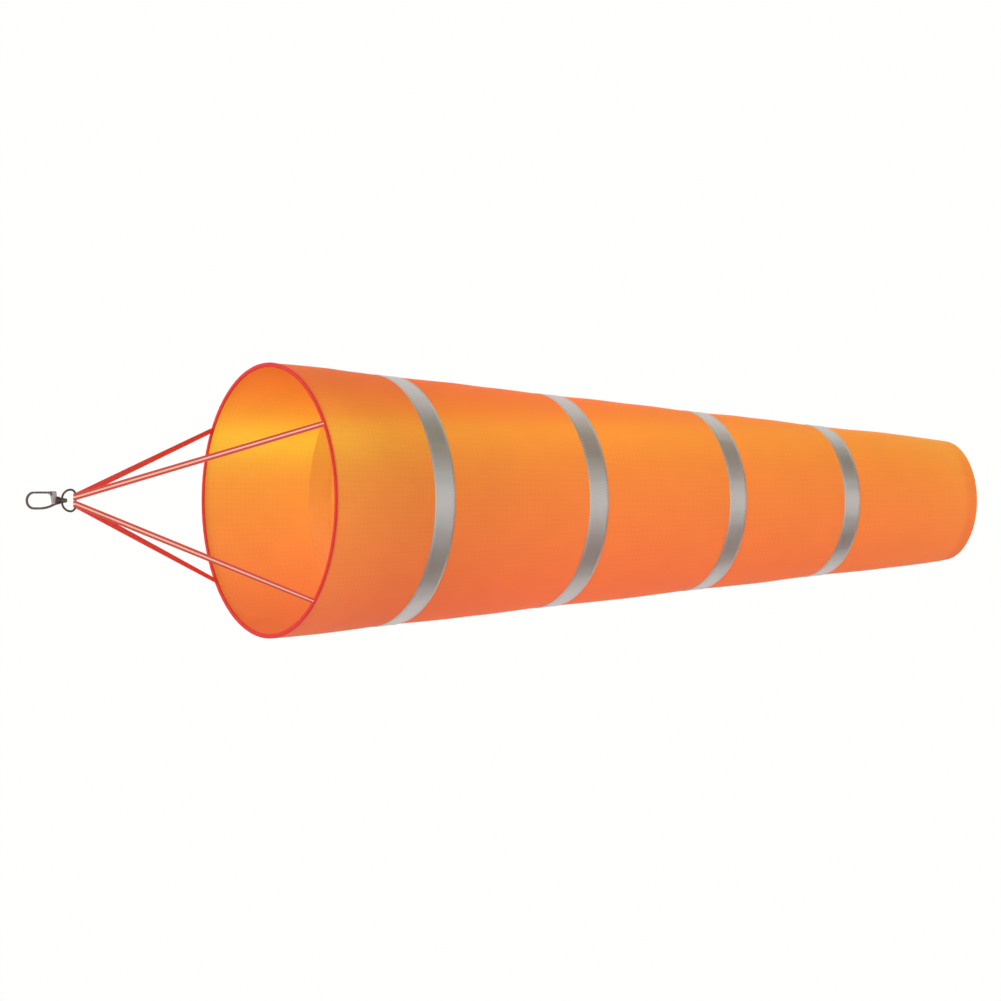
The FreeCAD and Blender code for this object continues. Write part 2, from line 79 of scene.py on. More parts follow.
SLEEVE_BODIES = ("mouth", "ring_1", "ring_2", "ring_3", "ring_4")
TURN = 2 * math.pi
# Points of a CAD mesh that are within this of a plane lie on it
TOUCH = 1e-5

# How finely the round pieces are cut up
PANEL_SEGMENTS = 640
RING_SEGMENTS = 480
ROW_STEP = 0.005

# The cloth: its face lies just under the CAD's, swells between seams and gathers beside them.
# The first panel's front edge is tucked into the binding, and the last one stops short of the fold
CLOTH_SKIN = 0.00005
BILLOW = 0.0011
BILLOW_POWER = 0.8
SLOW_RIPPLE = 0.00028
PUCKER = 0.00022
PUCKER_REACH = 0.011
PUCKER_START = 0.002
BINDING_TUCK = 0.0006
TAIL_TUCK = 0.0003

# The lapped seam along the bottom of the sleeve
SEAM_ANGLE = math.pi
SEAM_WIDTH = 0.010
SEAM_RISE = 0.0004
SEAM_SLOPE = 0.0016
SEAM_FADE = 0.004
SEAM_STITCH_OUT = 0.0034
SEAM_STITCH_GAP = 0.002

# Stitches: each ring is a place along the stitch and the thread's thickness there, as shares
STITCH_PITCH = 0.0031
STITCH_LENGTH = 0.0025
STITCH_SIDES = 6
STITCH_RINGS = ((-0.5, 0.25), (-0.36, 0.85), (0.0, 1.0), (0.36, 0.85), (0.5, 0.25))
THREAD = 0.00021
THREAD_SPREAD = 1.15

# The bands' tape, with its ends lapped over the seam
TAPE_THICK = 0.0005
TAPE_EDGE = 0.0002
TAPE_EDGE_DROP = 0.00005
TAPE_RIPPLE = 0.00005
TAPE_LAP = 0.011
TAPE_LAP_RISE = 0.00042
TAPE_LAP_SLOPE = 0.0012
TAPE_STITCH_INSET = 0.0022
TAPE_STITCH_RISE = 0.00004

# The tail's hem
HEM_LAYER = 0.00115
HEM_FOLD = 0.0006
HEM_FOLD_HEIGHT = 0.00062
HEM_RIPPLE = 0.00016
HEM_STITCH_INSET = 0.002
HEM_STITCH_RISE = 0.0001

# The binding round the mouth
BINDING_SIDES = 20
BINDING_SQUARENESS = 3.2
BINDING_RIPPLE = 0.00006
BINDING_WANDER = 0.00005
BINDING_STITCH_INSET = 0.0008
BINDING_STITCH_RISE = 0.00002

# The straps, and where the stitches that hold their feet lie
STRAP_THICK = 0.001
STRAP_HALF = 0.0032
TACK_ROWS = (0.0016, 0.0028, 0.0040, 0.0052)
TACK_OUT = 0.42
LEG_STEPS = 72
LOOP_STEPS = 16

# The leaf spring: how finely it is cut up, and how far it sags below a straight line
LEAF_STEPS = 24
LEAF_FLAT_STEPS = 8
LEAF_CURL = 0.12


def node_points(name):
    return np.array([v.co for v in NODES[name].data.vertices], float)


MOUTH_LOW, MOUTH_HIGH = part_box("mouth_binding")
FIRST_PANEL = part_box("panel_1_front")
LAST_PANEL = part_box("panel_5")
TAIL_X = LAST_PANEL[1].x
TAPER = (LAST_PANEL[1].z - FIRST_PANEL[1].z) / (LAST_PANEL[0].x - FIRST_PANEL[0].x)


def sleeve_radius(x):
    """The radius of the sleeve's outer face at a place along it."""
    return FIRST_PANEL[1].z + TAPER * (x - FIRST_PANEL[0].x)


def band_span(band):
    low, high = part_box(f"band_{band}")
    return low.x, high.x


# Meshes


def mesh_object(name, points, faces, layers=(), materials=(), face_slots=None):
    """A smooth mesh object. layers are (name, one UV per face corner)."""
    mesh = bpy.data.meshes.new(name)
    mesh.from_pydata([tuple(p) for p in points], [], [tuple(f) for f in faces])
    for layer_name, uv in layers:
        layer = mesh.uv_layers.new(name=layer_name)
        layer.data.foreach_set("uv", np.asarray(uv, np.float32).ravel())
    for material in materials:
        mesh.materials.append(material)
    if face_slots is not None:
        mesh.polygons.foreach_set("material_index", np.asarray(face_slots, np.int32))
    mesh.polygons.foreach_set("use_smooth", [True] * len(mesh.polygons))
    mesh.update()
    made = bpy.data.objects.new(name, mesh)
    bpy.context.scene.collection.objects.link(made)
    return made


def grid_faces(rows, columns, closed=False):
    """Quads of a grid whose rows are rings, and each corner's (row, column).

    closed joins the last row to the first.
    """
    row, column = np.meshgrid(np.arange(rows if closed else rows - 1), np.arange(columns), indexing="ij")
    row, column = row.ravel(), column.ravel()
    next_row, next_column = (row + 1) % rows, (column + 1) % columns
    ring, next_ring = row * columns, next_row * columns
    faces = np.stack([ring + column, ring + next_column, next_ring + next_column, next_ring + column], 1)
    corner_rows = np.stack([row, row, row + 1, row + 1], 1)
    corner_columns = np.stack([column, column + 1, column + 1, column], 1)
    return faces, np.stack([corner_rows, corner_columns], 2)


def ring_angles(count):
    return np.arange(count) * TURN / count


def round_axis(x, radius, angle):
    """Points at a place along the sleeve, a distance from its axis and an angle from the top."""
    return np.stack(np.broadcast_arrays(x, -radius * np.sin(angle), radius * np.cos(angle)), -1)


def ring_object(name, x, radius, material, closed=False):
    """A surface round the axis. x and radius are arrays with a row per place along the section."""
    rows, columns = radius.shape
    points = round_axis(x, radius, ring_angles(columns)[None, :]).reshape(-1, 3)
    faces, corners = grid_faces(rows, columns, closed)
    steps = np.hypot(np.diff(x[:, 0]), np.diff(radius[:, 0]))
    along = np.zeros(rows + 1)
    along[1:rows] = np.cumsum(steps)
    along[rows] = along[rows - 1] + (steps[-1] if closed else 0)
    round_sleeve = corners[..., 1] / columns * TURN * float(radius.mean())
    weave = np.stack([round_sleeve, x[0, 0] + along[corners[..., 0]]], -1)
    height = points[faces][..., [2, 0]]
    return mesh_object(name, points, faces, [("weave", weave), ("height", height)], [material])


def seam_rise(angle):
    """How far the lapped seam lifts the cloth at an angle round the sleeve, as a share."""
    off = np.abs((angle - SEAM_ANGLE + math.pi) % TURN - math.pi) * float(FIRST_PANEL[1].z)
    edge = np.clip((SEAM_WIDTH / 2 + SEAM_SLOPE / 2 - off) / SEAM_SLOPE, 0, 1)
    return edge * edge * (3 - 2 * edge)


def ripple(angle, counts, seed):
    """A wave round the sleeve that never quite repeats, between about -1 and 1."""
    draw = np.random.default_rng(seed)
    total = np.zeros_like(angle)
    for count in counts:
        total += np.sin(count * angle + draw.uniform(0, TURN)) * draw.uniform(0.6, 1.0)
    return total / math.sqrt(len(counts))


def stitches_object(name, centres, along, up, material):
    """Short lengths of thread lying on a surface, one at each centre."""
    along = along / np.linalg.norm(along, axis=1, keepdims=True)
    up = up - along * np.sum(up * along, axis=1, keepdims=True)
    up /= np.linalg.norm(up, axis=1, keepdims=True)
    side = np.cross(along, up)
    rings = []
    for reach, size in STITCH_RINGS:
        middle = centres + along * (reach * STITCH_LENGTH)
        for turn in ring_angles(STITCH_SIDES):
            sideways = side * (math.cos(turn) * THREAD * size * THREAD_SPREAD)
            upward = up * (math.sin(turn) * THREAD * size)
            rings.append(middle + (sideways + upward) - up * (abs(reach) * THREAD))
    points = np.stack(rings, 1).reshape(-1, 3)
    per = len(STITCH_RINGS) * STITCH_SIDES
    quads, _ = grid_faces(len(STITCH_RINGS), STITCH_SIDES)
    ends = [range(STITCH_SIDES), range(per - STITCH_SIDES, per)[::-1]]
    faces = []
    for first in range(0, len(points), per):
        faces += [tuple(first + v for v in quad[::-1]) for quad in quads]
        faces += [tuple(first + v for v in end) for end in ends]
    return mesh_object(name, points, faces, materials=[material])


def stitch_ring(name, x, radius, material, lift=None):
    """A row of stitches right round the sleeve. lift gives the cloth's extra height at an angle."""
    angle = ring_angles(round(TURN * radius / STITCH_PITCH))
    outward = round_axis(0.0, np.ones(len(angle)), angle)
    along = round_axis(0.0, np.ones(len(angle)), angle + math.pi / 2)
    centres = round_axis(x, radius + (lift(angle) if lift else np.zeros(len(angle))), angle)
    return stitches_object(name, centres, along, outward, material)


# Materials


class Shader:
    """A material's or the world's nodes, added one at a time. A setting is a value or a socket."""

    def __init__(self, owner):
        self.owner = owner
        owner.use_nodes = True
        self.tree = owner.node_tree
        self.tree.nodes.clear()

    def put(self, socket, setting):
        if isinstance(setting, bpy.types.NodeSocket):
            self.tree.links.new(setting, socket)
        else:
            socket.default_value = setting

    def add(self, kind, sockets=None, **settings):
        node = self.tree.nodes.new("ShaderNode" + kind)
        for name, setting in settings.items():
            setattr(node, name, setting)
        for name, setting in (sockets or {}).items():
            self.put(node.inputs[name], setting)
        return node

    def maths(self, operation, first, second=0.0, third=0.0, clamp=False):
        sockets = {0: first, 1: second, 2: third}
        return self.add("Math", sockets, operation=operation, use_clamp=clamp).outputs[0]

    def mix(self, share, first, second, blend="MIX"):
        sockets = {0: share, 6: first, 7: second}
        return self.add("Mix", sockets, data_type="RGBA", blend_type=blend).outputs[2]

    def joined(self, *parts):
        """A vector, or a colour, of up to three numbers."""
        return self.add("CombineXYZ", dict(enumerate(parts))).outputs[0]

    def uv(self, name):
        parts = self.add("SeparateXYZ", {0: self.add("UVMap", uv_map=name).outputs[0]})
        return parts.outputs[0], parts.outputs[1]

    def place(self):
        """The mesh's own coordinates, in metres."""
        return self.add("TexCoord").outputs["Object"]

    def noise(self, vector, scale, detail=3.0):
        return self.add("TexNoise", {"Vector": vector, "Scale": scale, "Detail": detail}).outputs[0]

    def ramp(self, share, stops, interpolation="LINEAR"):
        node = self.add("ValToRGB", {0: share})
        node.color_ramp.interpolation = interpolation
        elements = node.color_ramp.elements
        while len(elements) > 1:
            elements.remove(elements[-1])
        elements[0].position, elements[0].color = stops[0][0], (*stops[0][1], 1)
        for position, colour in stops[1:]:
            elements.new(position).color = (*colour, 1)
        return node.outputs[0]

    def wave(self, value, pitch, sharpness=1.0):
        """0 to 1 along a repeating line pattern: 1 on each line, with a pitch in metres."""
        turn = self.maths("MULTIPLY", value, TURN / pitch)
        wave = self.maths("MULTIPLY_ADD", self.maths("COSINE", turn), 0.5, 0.5)
        return self.maths("POWER", wave, sharpness) if sharpness != 1.0 else wave

    def shaded(self, colour, shade):
        """A colour made lighter or darker by a number."""
        return self.mix(1.0, colour, self.joined(shade, shade, shade), "MULTIPLY")

    def bump(self, height, distance, strength):
        return self.add("Bump", {"Height": height, "Distance": distance, "Strength": strength}).outputs[0]

    def finish(self, kind, surface):
        self.add("Output" + kind, {"Surface": surface})
        return self.owner


def new_shader(name):
    return Shader(bpy.data.materials.new(name))


BLACK, WHITE = (0, 0, 0), (1, 1, 1)

# The cloth's colour at heights above and below the sleeve's axis, which reach the height set on the next
# line at most. It holds painted light and shade: a painted highlight, yellower, along the upper flanks and
# painted shade, redder, underneath
PAINTED_RAMP_REACH = 0.136
DYE_WITH_PAINTED_LIGHT = (
    (-0.134, (0.79, 0.143, 0.074)),
    (-0.110, (0.79, 0.160, 0.071)),
    (-0.080, (0.78, 0.180, 0.068)),
    (-0.050, (0.77, 0.199, 0.064)),
    (-0.020, (0.76, 0.217, 0.060)),
    (0.005, (0.76, 0.235, 0.058)),
    (0.025, (0.78, 0.252, 0.056)),
    (0.045, (0.81, 0.264, 0.054)),
    (0.060, (0.86, 0.286, 0.053)),
    (0.071, (0.90, 0.344, 0.053)),
    (0.082, (0.90, 0.290, 0.050)),
    (0.100, (0.91, 0.242, 0.048)),
    (0.115, (0.91, 0.204, 0.046)),
    (0.134, (0.91, 0.178, 0.044)),
)
# The colour of the light that comes through the cloth, at the same heights, with a painted yellow highlight
# in a band along the upper flanks
THROUGH_WITH_PAINTED_GLOW = (
    (-0.134, (0.78, 0.240, 0.050)),
    (-0.100, (0.78, 0.270, 0.050)),
    (-0.050, (0.76, 0.310, 0.048)),
    (-0.010, (0.75, 0.345, 0.045)),
    (0.020, (0.76, 0.400, 0.043)),
    (0.040, (0.80, 0.580, 0.044)),
    (0.058, (0.86, 0.900, 0.046)),
    (0.074, (0.88, 0.660, 0.044)),
    (0.090, (0.88, 0.430, 0.038)),
    (0.110, (0.88, 0.330, 0.036)),
    (0.134, (0.88, 0.250, 0.034)),
)
# Painted light: less light comes through from inside away from the mouth, and the cloth's colour is made
# lighter towards the tail to make up for it
PAINTED_LIGHT_FROM, PAINTED_LIGHT_TO, PAINTED_LIGHT_SHARE = 0.28, 0.60, 0.22
# Painted light: the cloth under each band is made paler and yellower, so that the band's shadow doesn't
# show from inside; it also lets less light through
PAINTED_LIGHT_UNDER_BAND = (1.11, 1.62, 1.56)
UNDER_BAND_THROUGH = -0.14
# The share of the light that goes through the cloth. The hem's second layer is given more, so that
# two layers together don't show as a dark ring at the tail
CLOTH_THROUGH = 0.34
HEM_THROUGH = 0.80
# The ripstop's grid of thick yarns, and the yarns between them
RIPSTOP_PITCH, RIPSTOP_SHARPNESS = 0.005, 14.0
YARN_PITCH = 0.0006


def up_the_sleeve(shader, height, stops):
    """A colour that changes with the height, from stops of (height, colour)."""
    share = shader.maths("MULTIPLY_ADD", height, 0.5 / PAINTED_RAMP_REACH, 0.5)
    return shader.ramp(share, [(0.5 + at / PAINTED_RAMP_REACH / 2, colour) for at, colour in stops], "B_SPLINE")


def under_bands(shader, from_hook):
    """1 where a band covers the cloth, and 0 elsewhere."""
    covered = 0.0
    for band in BANDS:
        start, end = band_span(band)
        inside = shader.maths("COMPARE", from_hook, (start + end) / 2, (end - start) / 2)
        covered = shader.maths("MAXIMUM", inside, covered)
    return covered


def sleeve_cloth(name, through_share):
    """Orange ripstop nylon, with painted light: a painted highlight in a yellower line along its upper
    flanks, and painted shade, redder, underneath.
    """
    shader = new_shader(name)
    height, from_hook = shader.uv("height")
    across, along = shader.uv("weave")
    covered = under_bands(shader, from_hook)
    # Painted light: paler cloth under the bands, so their shadow doesn't show inside the sleeve
    painted_band_light = shader.mix(covered, (1, 1, 1, 1), (*PAINTED_LIGHT_UNDER_BAND, 1))
    # Painted highlight and shade by height, in the cloth's colour and in the light that comes through it
    dye_with_painted_light = shader.mix(1.0, up_the_sleeve(shader, height, DYE_WITH_PAINTED_LIGHT), painted_band_light, "MULTIPLY")
    through_with_painted_glow = shader.mix(1.0, up_the_sleeve(shader, height, THROUGH_WITH_PAINTED_GLOW), painted_band_light, "MULTIPLY")

    mottle = shader.noise(shader.joined(across, along), 26.0, 2.0)
    ripstop = shader.maths(
        "MAXIMUM",
        shader.wave(across, RIPSTOP_PITCH, RIPSTOP_SHARPNESS),
        shader.wave(along, RIPSTOP_PITCH, RIPSTOP_SHARPNESS),
    )
    yarn = shader.maths("MULTIPLY", shader.wave(across, YARN_PITCH), shader.wave(along, YARN_PITCH))
    shade = shader.maths("MULTIPLY_ADD", mottle, 0.10, 0.93)
    shade = shader.maths("SUBTRACT", shade, shader.maths("MULTIPLY", ripstop, 0.045))
    # Painted light: the colour is made lighter along the sleeve away from the mouth
    past_mouth = shader.maths("SUBTRACT", from_hook, PAINTED_LIGHT_FROM)
    inward = shader.maths("DIVIDE", past_mouth, PAINTED_LIGHT_TO - PAINTED_LIGHT_FROM, clamp=True)
    envelope = shader.ramp(inward, [(0, BLACK), (1, WHITE)], "EASE")
    shade = shader.maths("MULTIPLY_ADD", envelope, PAINTED_LIGHT_SHARE, shade)

    lift = shader.maths("MULTIPLY_ADD", ripstop, 1.0, shader.maths("MULTIPLY", yarn, 0.35))
    normal = shader.bump(lift, 0.00009, 0.55)
    front = shader.add(
        "BsdfPrincipled",
        {
            "Base Color": shader.shaded(dye_with_painted_light, shade),
            "Roughness": shader.maths("MULTIPLY_ADD", mottle, 0.12, 0.50),
            "Normal": normal,
            "Specular IOR Level": 0.06,
            "Sheen Weight": 0.02,
        },
    )
    # The light through the cloth carries a painted yellow highlight band along the upper flanks
    through = shader.add("BsdfTranslucent", {"Color": shader.shaded(through_with_painted_glow, shade), "Normal": normal})
    through_here = shader.maths("MULTIPLY_ADD", covered, UNDER_BAND_THROUGH, through_share)
    cloth = shader.add("MixShader", {0: through_here, 1: front.outputs[0], 2: through.outputs[0]})
    return shader.finish("Material", cloth.outputs[0])


TAPE_SILVER = (0.70, 0.76, 0.78)
TAPE_GLOW = (0.66, 0.84, 0.98)
TAPE_THROUGH = 0.30
TAPE_RIB = 0.0011


def silver_tape():
    """Silver reflective tape: glass beads under a clear film, laid over with fine creases."""
    shader = new_shader("silver_tape")
    across, along = shader.uv("weave")
    vector = shader.joined(across, along)
    beads = shader.noise(vector, 1400.0, 1.0)
    cloud = shader.noise(vector, 45.0)
    crease = shader.noise(shader.joined(across, shader.maths("MULTIPLY", along, 0.25)), 160.0, 2.0)
    weave = shader.maths("MULTIPLY", shader.wave(across, TAPE_RIB), shader.wave(along, TAPE_RIB))
    shade = shader.maths("MULTIPLY_ADD", cloud, 0.16, 0.92)
    shade = shader.maths("MULTIPLY_ADD", beads, 0.06, shader.maths("SUBTRACT", shade, 0.03))
    lift = shader.maths("MULTIPLY_ADD", crease, 1.0, shader.maths("MULTIPLY", weave, 0.25))
    tape = shader.add(
        "BsdfPrincipled",
        {
            "Base Color": shader.shaded((*TAPE_SILVER, 1), shade),
            "Metallic": 0.88,
            "Roughness": shader.maths("MULTIPLY_ADD", cloud, 0.14, 0.26),
            "Normal": shader.bump(lift, 0.00012, 0.5),
        },
    )
    through = shader.add("BsdfTranslucent", {"Color": (*TAPE_GLOW, 1)})
    laid = shader.add("MixShader", {0: TAPE_THROUGH, 1: tape.outputs[0], 2: through.outputs[0]})
    return shader.finish("Material", laid.outputs[0])


# The straps' face has a pale tracer between two dark lines
STRAP_PALE = (0.75, 0.335, 0.255)
STRAP_LINE = (0.27, 0.060, 0.048)
TRACER = ((0.00, STRAP_PALE), (0.26, STRAP_PALE), (0.34, STRAP_LINE), (0.45, STRAP_LINE))
TRACER_END = 0.55


def woven_tape(name, colour, tracer=()):
    """Ribbed polyester tape. tracer is the colours down its middle, by share of its half width."""
    shader = new_shader(name)
    across, along = shader.uv("weave")
    cloud = shader.noise(shader.joined(across, along), 90.0)
    ribs = shader.wave(along, TAPE_RIB, 1.4)
    sway = shader.maths("MULTIPLY_ADD", shader.wave(along, TAPE_RIB), TAPE_RIB * 0.22, across)
    yarn = shader.wave(sway, TAPE_RIB * 0.62)
    shade = shader.maths("MULTIPLY_ADD", cloud, 0.22, 0.86)
    shade = shader.maths("MULTIPLY_ADD", ribs, 0.10, shade)
    base = (*colour, 1)
    if tracer:
        off_middle = shader.maths("DIVIDE", shader.maths("ABSOLUTE", across), STRAP_HALF)
        base = shader.ramp(off_middle, [*tracer, (TRACER_END, colour), (1.0, colour)])
    lift = shader.maths("MULTIPLY_ADD", ribs, 0.8, shader.maths("MULTIPLY", yarn, 0.5))
    tape = shader.add(
        "BsdfPrincipled",
        {
            "Base Color": shader.shaded(base, shade),
            "Roughness": 0.62,
            "Normal": shader.bump(lift, 0.00018, 0.6),
            "Specular IOR Level": 0.14,
            "Sheen Weight": 0.03,
        },
    )
    return shader.finish("Material", tape.outputs[0])


def thread_cloth(name, colour):
    """Twisted sewing thread."""
    shader = new_shader(name)
    fuzz = shader.noise(shader.place(), 2600.0, 2.0)
    shade = shader.maths("MULTIPLY_ADD", fuzz, 0.35, 0.80)
    thread = shader.add(
        "BsdfPrincipled",
        {
            "Base Color": shader.shaded((*colour, 1), shade),
            "Roughness": 0.55,
            "Normal": shader.bump(fuzz, 0.00008, 0.5),
            "Sheen Weight": 0.1,
        },
    )
    return shader.finish("Material", thread.outputs[0])


WORN_METAL = (0.34, 0.32, 0.30)
WORN_SHARE = 0.35
PLATED_ROUGHNESS = 0.34


def plating(shader, base, roughness=PLATED_ROUGHNESS):
    """Finish a material as worn plating over a base colour."""
    coordinates = shader.place()
    cloud = shader.noise(coordinates, 420.0, 4.0)
    speck = shader.noise(coordinates, 2400.0)
    wear = shader.maths("MULTIPLY", shader.ramp(cloud, [(0.50, BLACK), (0.72, WHITE)]), WORN_SHARE)
    metal = shader.add(
        "BsdfPrincipled",
        {
            "Base Color": shader.mix(wear, base, (*WORN_METAL, 1)),
            "Metallic": 0.85,
            "Roughness": shader.maths("MULTIPLY_ADD", speck, 0.22, roughness - 0.10),
            "Normal": shader.bump(speck, 0.00006, 0.4),
        },
    )
    return shader.finish("Material", metal.outputs[0])


def plated_metal(name, colour, roughness=PLATED_ROUGHNESS):
    return plating(new_shader(name), (*colour, 1), roughness)


# The hook's colours, and its block's edges: x + slant * z at the left and right, z - rise * x below
GUNMETAL = (0.145, 0.116, 0.100)
BLOCK_GREY = (0.42, 0.365, 0.345)
BARREL_BROWN = (0.150, 0.108, 0.090)
PIN_X = JOINTS["gate_hinge"]["pos_m"][0]
BLOCK_SLANT = 0.189
BLOCK_LEFT = PIN_X - 0.0008
BLOCK_RIGHT = PIN_X + 0.0044
BLOCK_HALF = 0.00253
BLOCK_RISE = 0.41
BLOCK_FLOOR = -0.00385 - BLOCK_RISE * PIN_X
BARREL_FROM = PIN_X + 0.0021


def hook_metal():
    """Gunmetal on the hook's wire, a pale block, and a brown ribbed barrel."""
    shader = new_shader("hook_gunmetal")
    parts = shader.add("SeparateXYZ", {0: shader.place()})
    x, y, z = parts.outputs[0], parts.outputs[1], parts.outputs[2]
    slanted = shader.maths("MULTIPLY_ADD", z, BLOCK_SLANT, x)
    sloped = shader.maths("MULTIPLY_ADD", x, -BLOCK_RISE, z)
    past_left = shader.maths("GREATER_THAN", slanted, BLOCK_LEFT)
    before_right = shader.maths("LESS_THAN", slanted, BLOCK_RIGHT)
    within = shader.maths("LESS_THAN", shader.maths("ABSOLUTE", y), BLOCK_HALF)
    above = shader.maths("GREATER_THAN", sloped, BLOCK_FLOOR)
    block = shader.maths("MULTIPLY", past_left, before_right)
    block = shader.maths("MULTIPLY", block, shader.maths("MULTIPLY", within, above))
    barrel = shader.maths("GREATER_THAN", x, BARREL_FROM)
    base = shader.mix(barrel, (*GUNMETAL, 1), (*BARREL_BROWN, 1))
    return plating(shader, shader.mix(block, base, (*BLOCK_GREY, 1)))


CLOTH = sleeve_cloth("sleeve_ripstop", CLOTH_THROUGH)
HEM_CLOTH = sleeve_cloth("hem_ripstop", HEM_THROUGH)
SILVER = silver_tape()
RIM_TAPE = woven_tape("rim_tape", (0.52, 0.024, 0.018))
# Painted light: the straps' back is the same red webbing as the face, made lighter so that it reads bright
# where it faces away from the light
STRAP_BACK_PAINTED_LIGHT = woven_tape("strap_back_painted_light", (0.78, 0.072, 0.060))
STRAP_FACE = woven_tape("strap_face", (0.43, 0.062, 0.050), TRACER)
ORANGE_THREAD = thread_cloth("orange_thread", (0.84, 0.21, 0.045))
RED_THREAD = thread_cloth("red_thread", (0.62, 0.030, 0.022))
SILVER_THREAD = thread_cloth("silver_thread", (0.38, 0.37, 0.36))


# The sleeve's cloth, in one curved sheet from each band to the next


def between(x, first, last):
    """How far a place is from the first seam to the last, as a share."""
    return np.clip((x - first) / (last - first), 0, 1)


def swell(share):
    """How far the cloth billows out at a share of the way from seam to seam."""
    return BILLOW * np.sin(math.pi * share) ** BILLOW_POWER


def panel_shape(start, end, seed, first, last):
    """The radius of a panel's rows and columns, with its billow and the puckers at its seams."""
    rows = max(8, round((end - start) / ROW_STEP)) + 1
    x = np.linspace(start, end, rows)[:, None]
    angle = ring_angles(PANEL_SEGMENTS)[None, :]
    share = between(x, first, last)
    past_first, before_last = np.clip(x - first, 0, None), np.clip(last - x, 0, None)
    radius = sleeve_radius(x) - CLOTH_SKIN + swell(share)
    slow = ripple(angle + 0.8 * share, (5, 8, 13, 19), seed)
    radius = radius + SLOW_RIPPLE * slow * np.sin(math.pi * share)
    for edge_seed, from_edge in ((seed + 1, past_first), (seed + 2, before_last)):
        fine = ripple(angle, (61, 74, 89, 101), edge_seed)
        envelope = np.exp(-from_edge / PUCKER_REACH) * np.clip(from_edge / PUCKER_START, 0, 1)
        radius = radius + PUCKER * fine * envelope
    from_seam = np.minimum(past_first, before_last)
    radius = radius + SEAM_RISE * seam_rise(angle) * np.clip(from_seam / SEAM_FADE, 0, 1)
    return np.broadcast_to(x, radius.shape), radius


def make_seam(number, first, last):
    """The two rows of stitches along a panel's lapped seam."""
    count = int((last - first - 2 * SEAM_STITCH_GAP) / STITCH_PITCH)
    along = first + SEAM_STITCH_GAP + (np.arange(count) + 0.5) * STITCH_PITCH
    lift = sleeve_radius(along) + SEAM_RISE + swell(between(along, first, last))
    rows = []
    for side in (-1, 1):
        rows.append(round_axis(along, lift, SEAM_ANGLE + side * SEAM_STITCH_OUT / sleeve_radius(along)))
    centres = np.concatenate(rows)
    outward = centres * np.array([0, 1, 1])
    direction = np.tile(np.array([1.0, 0, TAPER]), (len(centres), 1))
    return stitches_object(f"seam_stitches_{number}", centres, direction, outward, ORANGE_THREAD)


def make_panel(number):
    """One panel of the sleeve, with the stitches along its seam."""
    starts = [MOUTH_HIGH.x - BINDING_TUCK] + [sum(band_span(b)) / 2 for b in BANDS]
    ends = starts[1:] + [TAIL_X - TAIL_TUCK]
    start, end = starts[number - 1], ends[number - 1]
    first = MOUTH_HIGH.x if number == 1 else band_span(number - 1)[1]
    last = band_span(number)[0] if number in BANDS else TAIL_X
    x, radius = panel_shape(start, end, 10 * number, first, last)
    panel = ring_object(f"sleeve_panel_{number}", x, radius, CLOTH)
    seam = make_seam(number, first, last)
    for piece in (panel, seam):
        if number in BANDS:
            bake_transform(piece)
        else:
            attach(piece, SLEEVE_BODIES[-1])
    return panel, seam, start, end


PANEL_NODES = {k: tuple(f"panel_{k}_{part}" for part in ("front", "fold", "rear")) for k in BANDS}
PANEL_NODES[PANELS[-1]] = ("panel_5",)
for number in PANELS:
    panel, seam, start, end = make_panel(number)
    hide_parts(*PANEL_NODES[number])


# The silver bands, the tail's hem and the binding round the mouth


def closed_section(places):
    """Arrays of x and radius for a ring, from a list of (x, radius) round its section."""
    x, radius = np.array(places).T[..., None]
    return x.repeat(RING_SEGMENTS, axis=1), radius.repeat(RING_SEGMENTS, axis=1)


def make_band(band):
    """A band of silver tape, with two rows of stitches and its ends lapped over the seam."""
    start, end = band_span(band)
    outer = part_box(f"band_{band}")[1].z - sleeve_radius(start)
    inner = outer - TAPE_THICK
    middle = (outer + inner) / 2
    places = [(start + TAPE_EDGE, sleeve_radius(start) + inner), (start, sleeve_radius(start) + middle)]
    for share in np.linspace(0, 1, 9):
        at = start + TAPE_EDGE + (end - start - 2 * TAPE_EDGE) * share
        places.append((at, sleeve_radius(at) + outer - TAPE_EDGE_DROP * abs(2 * share - 1) ** 6))
    places += [(end, sleeve_radius(end) + middle), (end - TAPE_EDGE, sleeve_radius(end) + inner)]
    x, radius = closed_section(places)
    angle = ring_angles(RING_SEGMENTS)

    def lap(at):
        off = np.abs(at - SEAM_ANGLE) * sleeve_radius(start)
        return TAPE_LAP_RISE * np.clip((TAPE_LAP - off) / TAPE_LAP_SLOPE, 0, 1)

    def face_rise(at):
        return lap(at) + TAPE_RIPPLE * ripple(at, (23, 37, 52), 70 + band)

    radius[2:-2] += face_rise(angle)[None, :]
    radius[:2] += lap(angle)[None, :]
    radius[-2:] += lap(angle)[None, :]
    tape = ring_object(f"silver_band_{band}", x, radius, SILVER)
    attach(tape, f"ring_{band}")
    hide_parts(f"band_{band}")
    for side, at in (("front", start + TAPE_STITCH_INSET), ("rear", end - TAPE_STITCH_INSET)):
        top = sleeve_radius(at) + outer + TAPE_STITCH_RISE
        row = stitch_ring(f"band_{band}_stitches_{side}", at, top, SILVER_THREAD, face_rise)
        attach(row, f"ring_{band}")


